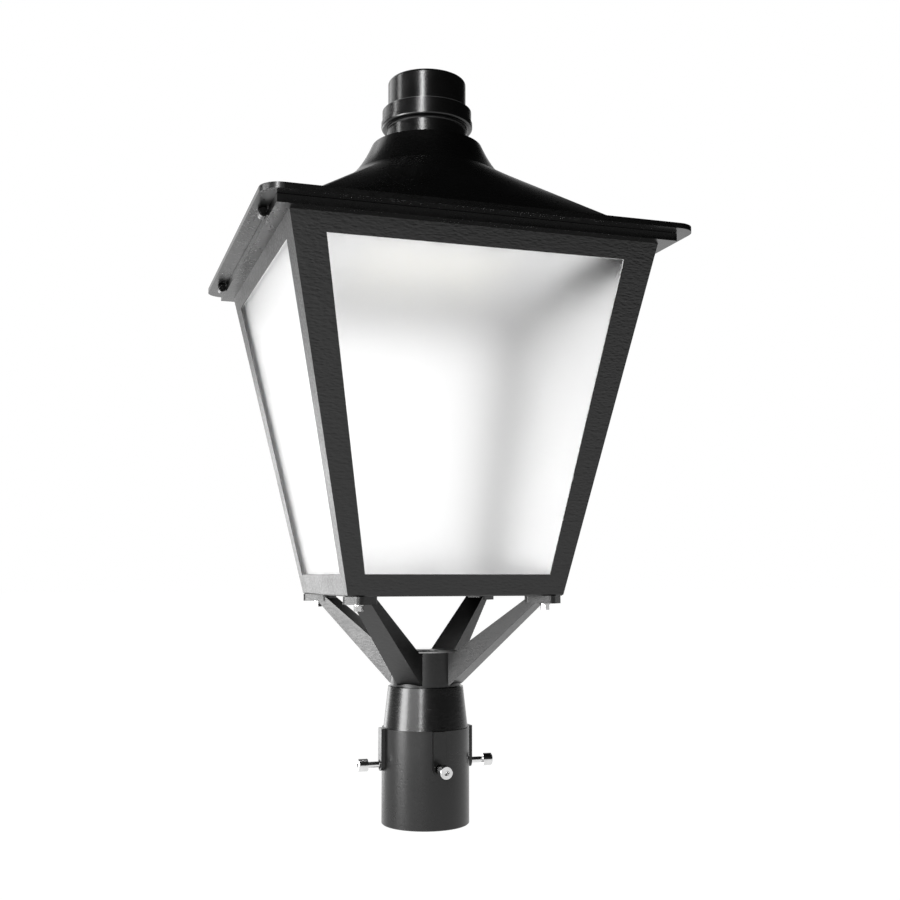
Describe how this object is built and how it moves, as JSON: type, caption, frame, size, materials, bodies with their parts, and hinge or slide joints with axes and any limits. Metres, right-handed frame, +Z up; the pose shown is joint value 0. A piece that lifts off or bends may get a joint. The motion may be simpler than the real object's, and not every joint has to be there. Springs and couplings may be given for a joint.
{
  "type": "post top lantern",
  "caption": "Square tapered post top lantern with frosted panes, a hinged hat roof with a twist-lock photocell, an arm yoke and a post fitter with set screws.",
  "frame": {"origin": "centre of the fitter's open lower end, on the post's axis", "axes": "+Z up along the post, -Y is the front, -X is the roof's hinge side"},
  "size_m": [0.411, 0.411, 0.7694],
  "materials": {
    "painted_body": "fine textured powder coat",
    "bright_steel": "bright turned steel",
    "hidden_steel": "zinc plated",
    "frosted_pane": "frosted acrylic",
    "seal_rubber": "matte",
    "white_reflector": "gloss white",
    "tray_aluminium": "mill",
    "board_white": "matte",
    "pale_plastic": "satin",
    "lamp_lens": "gloss",
    "black_plastic": "satin",
    "contact_brass": "bright"
  },
  "bodies": {
    "stem": {"post_sleeve": "painted_body", "cone_collar": "painted_body", "yoke": "painted_body", "hub_screws": "hidden_steel", "foot_washers": "bright_steel", "foot_bolts": "bright_steel", "cage_frame": "painted_body", "pane_front": "frosted_pane", "pane_right": "frosted_pane", "pane_back": "frosted_pane", "pane_left": "frosted_pane", "pane_gaskets": "seal_rubber", "pane_clips": "hidden_steel", "clip_screws": "hidden_steel", "floor_plate": "white_reflector", "floor_screws": "hidden_steel", "cable_gland": "black_plastic", "top_rim": "painted_body", "rim_screws": "hidden_steel", "roof_seal": "seal_rubber", "hinge_pins": "bright_steel"},
    "roof": {"roof_shell": "painted_body", "lamp_tray": "tray_aluminium", "tray_screws": "hidden_steel", "reflector": "white_reflector", "reflector_screws": "hidden_steel", "lamp_board": "board_white", "lamps": "lamp_lens", "lamp_driver": "tray_aluminium", "driver_screws": "hidden_steel", "terminal_block": "pale_plastic", "terminal_screws": "hidden_steel", "photocell_socket": "black_plastic"},
    "photocell": {"photocell_cover": "black_plastic", "photocell_base": "black_plastic", "contact_blades": "contact_brass", "photocell_seal": "seal_rubber"},
    "set_screw_body_front": {"set_screw_front": "bright_steel"},
    "set_screw_body_right": {"set_screw_right": "bright_steel"},
    "set_screw_body_back": {"set_screw_back": "bright_steel"},
    "set_screw_body_left": {"set_screw_left": "bright_steel"},
    "roof_screw_body_front": {"roof_screw_front": "bright_steel"},
    "roof_screw_body_back": {"roof_screw_back": "bright_steel"}
  },
  "joints": [
    {"name": "roof_hinge", "type": "hinge", "parent": "stem", "child": "roof", "pos_m": [-0.1953, 0, 0.5644], "axis": [0, -1, 0], "range_deg": [0, 100]},
    {"name": "photocell_twist", "type": "hinge", "parent": "roof", "child": "photocell", "pos_m": [0, 0, 0.7174], "axis": [0, 0, 1], "range_deg": [0, 35]},
    {"name": "set_screw_front_drive", "type": "slide", "parent": "stem", "child": "set_screw_body_front", "axis": [0, 1, 0], "range_m": [0, 0.012]},
    {"name": "set_screw_right_drive", "type": "slide", "parent": "stem", "child": "set_screw_body_right", "axis": [-1, 0, 0], "range_m": [0, 0.012]},
    {"name": "set_screw_back_drive", "type": "slide", "parent": "stem", "child": "set_screw_body_back", "axis": [0, -1, 0], "range_m": [0, 0.012]},
    {"name": "set_screw_left_drive", "type": "slide", "parent": "stem", "child": "set_screw_body_left", "axis": [1, 0, 0], "range_m": [0, 0.012]},
    {"name": "roof_screw_front_draw", "type": "slide", "parent": "stem", "child": "roof_screw_body_front", "axis": [0, 0, -1], "range_m": [0, 0.006]},
    {"name": "roof_screw_back_draw", "type": "slide", "parent": "stem", "child": "roof_screw_body_back", "axis": [0, 0, -1], "range_m": [0, 0.006]}
  ]
}
